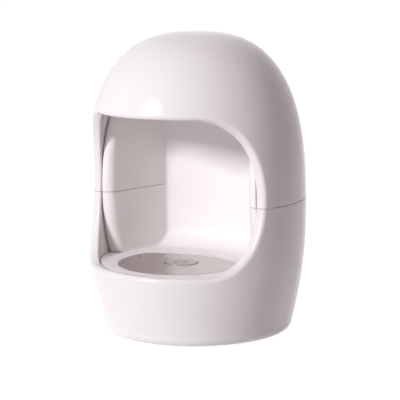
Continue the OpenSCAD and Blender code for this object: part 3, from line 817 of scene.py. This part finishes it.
# %% [markdown]
# ## The soft inner corners
# The floor sweeps up into the back wall, and both run into the side walls with a small radius, so
# light fades round the corner and no hard line shows. A ball rolled along the corner touches the
# reflector and the side wall. The touch points and the arc between them are the blend's surface.
# On the flat floor the ball's middle is worked out at once. Along the cove and the back wall, which
# are curved in plan, it is found by halving the angle until the ball just touches the side wall.

# %% Roll a ball along the corner
COVE_R = 6.0
BACK_CENTRE_Y = BACK_Y - BACK_R
FLOOR_FRONT_Y = -4.8
FLOOR_BACK_Y = 8.6
FLOOR_BLEND_R = 0.25
FLOOR_GROWTH = 0.45
COVE_BLEND_R = 0.7
COVE_GROWTH = 0.3
WALL_BLEND_R = 1.0
BLEND_TOP_GAP = 0.1
WIDEST_ANGLE = 1.2
HALVINGS = 50


def blend_sections():
    """Ball middles and both touch points, from the floor's front over the cove to the wall's top."""
    wall_normal = np.array([-math.cos(SIDE_LEAN), -math.sin(SIDE_LEAN), 0])
    on_wall = np.array([SIDE_FRONT_X, CUT_BACK_Y, 0])
    sections = []
    runs = [("floor", t) for t in np.linspace(0, 1, 20)[:-1]]
    runs += [("cove", t) for t in np.linspace(0, 1, 14)[:-1]]
    runs += [("wall", t) for t in np.linspace(0, 1, 16)]
    for where, t in runs:
        if where == "floor":
            size = FLOOR_BLEND_R + FLOOR_GROWTH * min(1, t * 2.5)
            y = FLOOR_FRONT_Y + t * (FLOOR_BACK_Y - FLOOR_FRONT_Y)
            centre_z = SILL_Z + size
            normal = np.array([0, 0, 1.0])
            x = on_wall[0] + (size - (y - on_wall[1]) * wall_normal[1]) / wall_normal[0]
            centre = np.array([x, y, centre_z])
        else:
            if where == "cove":
                size = COVE_BLEND_R + COVE_GROWTH * t
                a = t * math.pi / 2
                ring_r = BACK_R - COVE_R + (COVE_R - size) * math.sin(a)
                centre_z = SILL_Z + COVE_R - (COVE_R - size) * math.cos(a)
                tilt = (-math.sin(a), math.cos(a))
            else:
                size = WALL_BLEND_R
                ring_r = BACK_R - size
                centre_z = SILL_Z + COVE_R + t * (CEILING_Z - BLEND_TOP_GAP - SILL_Z - COVE_R)
                tilt = (-1.0, 0.0)
            low, high = 0.0, WIDEST_ANGLE
            for _ in range(HALVINGS):
                a = (low + high) / 2
                centre = np.array([ring_r * math.sin(a), BACK_CENTRE_Y + ring_r * math.cos(a),
                                   centre_z])
                gap = (centre - on_wall) @ wall_normal
                low, high = (a, high) if gap > size else (low, a)
            outward = np.array([math.sin(a), math.cos(a), 0])
            normal = outward * tilt[0] + np.array([0, 0, tilt[1]])
        sections.append((centre, normal, wall_normal, size))
    return sections


# %% Skin the blend
BLEND_STEPS = 8
BLEND_PROUD = 0.012
BLEND_ROOT = 0.12


def blend_ring(centre, normal, wall_normal, size):
    """The arc between both touch points, a hair proud of the walls, and one point behind them."""
    angle = math.acos(max(-1, min(1, normal @ wall_normal)))
    ring = []
    for k in range(BLEND_STEPS + 1):
        f = k / BLEND_STEPS
        mixed = math.sin((1 - f) * angle) * normal + math.sin(f * angle) * wall_normal
        ring.append(centre - (size - BLEND_PROUD) * mixed / math.sin(angle))
    middle = (normal + wall_normal) / np.linalg.norm(normal + wall_normal)
    ring.append(centre - middle * (size / math.cos(angle / 2) + BLEND_ROOT))
    return ring


blend_verts, blend_faces = skin_rings([blend_ring(*section) for section in blend_sections()])
mesh_piece("corner_blend", "housing", blend_verts, blend_faces,
           reflector_white, 50)

# %% [markdown]
# ## Metals, boards and small parts
# The plate in the floor is thin polished metal. Its base colour is mid grey, and its brightness
# comes from the white walls that it mirrors. Turned metal keeps fine rings, so a ring pattern
# drives a very small bump. Small parts inside are hidden by the shells, but each gets its own
# finish too, because a designer may open the model.


# %% Small finishes
PLATE_MIDDLE_Y = -7.9


def simple_finish(name, colour, shade, rough, metallic=0.0, **more):
    """A soft cloud of two near colours, with a fine grain in the roughness and the bump."""
    finish = Finish(name)
    cloud = finish.noise(400, 3)
    grain = finish.noise(3600, 2)
    return finish.surface(base_color=finish.blend(cloud.between(0.3, 0.7), colour, shade),
                          roughness=grain.between(0.3, 0.7, rough * 0.85, rough * 1.15),
                          metallic=metallic, **more,
                          normal=finish.bump(grain, strength=0.15, distance=0.0001))


def turned_metal(name, colour, shade, rough):
    """Fine rings round the middle of the plate, as a lathe leaves them."""
    finish = Finish(name)
    place = finish.add("ShaderNodeVectorMath", {"operation": "SUBTRACT"},
                       {0: finish.where(), 1: (0, PLATE_MIDDLE_Y * MM, 0)})
    rings = finish.add("ShaderNodeTexWave",
                       {"wave_type": "RINGS", "rings_direction": "Z", "wave_profile": "SIN"},
                       {"Vector": place, "Scale": 320, "Distortion": 0.1, "Detail": 1})
    cloud = finish.noise(90, 1)
    return finish.surface(base_color=finish.blend(cloud.between(0.3, 0.7), colour, shade),
                          roughness=cloud.between(0.3, 0.7, rough * 0.96, rough * 1.04),
                          metallic=1.0,
                          normal=finish.bump(rings, strength=0.01, distance=0.00003))


FINISHES = {
    "shell_white": shell_white,
    "reflector_white": reflector_white,
    "liner_white": liner_white,
    "plate_metal": turned_metal("plate_metal", (0.48, 0.43, 0.435), (0.47, 0.42, 0.425), 0.27),
    "tape": simple_finish("tape", (0.80, 0.74, 0.52), (0.76, 0.70, 0.48), 0.7),
    "button_grey": turned_metal("button_grey", (0.51, 0.47, 0.47), (0.50, 0.46, 0.46), 0.42),
    "black_plastic": simple_finish("black_plastic", (0.03, 0.03, 0.033), (0.02, 0.02, 0.022), 0.5),
    "board_green": simple_finish("board_green", (0.03, 0.2, 0.1), (0.02, 0.15, 0.08), 0.35),
    "board_white": simple_finish("board_white", (0.83, 0.83, 0.81), (0.78, 0.78, 0.76), 0.4),
    "can_metal": simple_finish("can_metal", (0.75, 0.76, 0.78), (0.7, 0.71, 0.73), 0.25, 1.0),
    "inlet_metal": simple_finish("inlet_metal", (0.68, 0.69, 0.7), (0.6, 0.61, 0.62), 0.3, 1.0),
    "screw_steel": simple_finish("screw_steel", (0.62, 0.62, 0.64), (0.54, 0.54, 0.56), 0.3, 1.0),
    "socket_white": simple_finish("socket_white", (0.86, 0.84, 0.78), (0.82, 0.8, 0.74), 0.5),
    "wire_insulation": simple_finish("wire_insulation", (0.55, 0.05, 0.05), (0.48, 0.04, 0.04), 0.45),
    "diode_yellow": simple_finish("diode_yellow", (0.85, 0.72, 0.3), (0.8, 0.66, 0.25), 0.4),
    "lens_clear": simple_finish("lens_clear", (0.95, 0.96, 1.0), (0.93, 0.95, 0.99), 0.08,
                                transmission_weight=0.9),
    "foot_rubber": simple_finish("foot_rubber", (0.16, 0.16, 0.17), (0.13, 0.13, 0.14), 0.75),
}
print(len(FINISHES), "finishes")

# %% Give every CAD node its finish
for part in frame["record"]["subparts"]:
    node = nodes[part["node"]]
    for slot in node.material_slots:
        slot.material = FINISHES[part["material_slot"]]
    if not node.material_slots:
        node.data.materials.append(FINISHES[part["material_slot"]])

# %% [markdown]
# ## Small edge radii on the CAD pieces
# No moulded or punched edge is perfectly sharp. A Bevel modifier gives each shown CAD piece a
# radius of 0.05 to 0.25 mm. The CAD mesh comes as split triangles, so a Weld and a planar Decimate
# go first and leave clean outlines for the bevel. Weighted Normal goes last and lets the large
# faces decide the shading, so that no smudge shows beside the new edges. All four are modifiers,
# so every point of the CAD mesh stays where it is.

# %% Soften the edges
EDGE_RADII = {"base_plate": 0.12, "power_button": 0.05, "rubber_feet": 0.25,
              "bottom_cover": 0.25, "cover_screws": 0.1, "usb_shell": 0.08}


def soften(name, width):
    node = nodes[name]
    weld = node.modifiers.new("weld", "WELD")
    weld.merge_threshold = 2e-6
    flat = node.modifiers.new("flat", "DECIMATE")
    flat.decimate_type = "DISSOLVE"
    flat.angle_limit = math.radians(0.3)
    edge = node.modifiers.new("edge", "BEVEL")
    edge.width = width * MM
    edge.segments = 2
    edge.limit_method = "ANGLE"
    edge.angle_limit = math.radians(40)
    node.data.shade_smooth()
    even = node.modifiers.new("even", "WEIGHTED_NORMAL")
    even.mode = "FACE_AREA"
    even.weight = 100
    even.keep_sharp = False


for name, width in EDGE_RADII.items():
    soften(name, width)
print("edges softened on", ", ".join(EDGE_RADII))
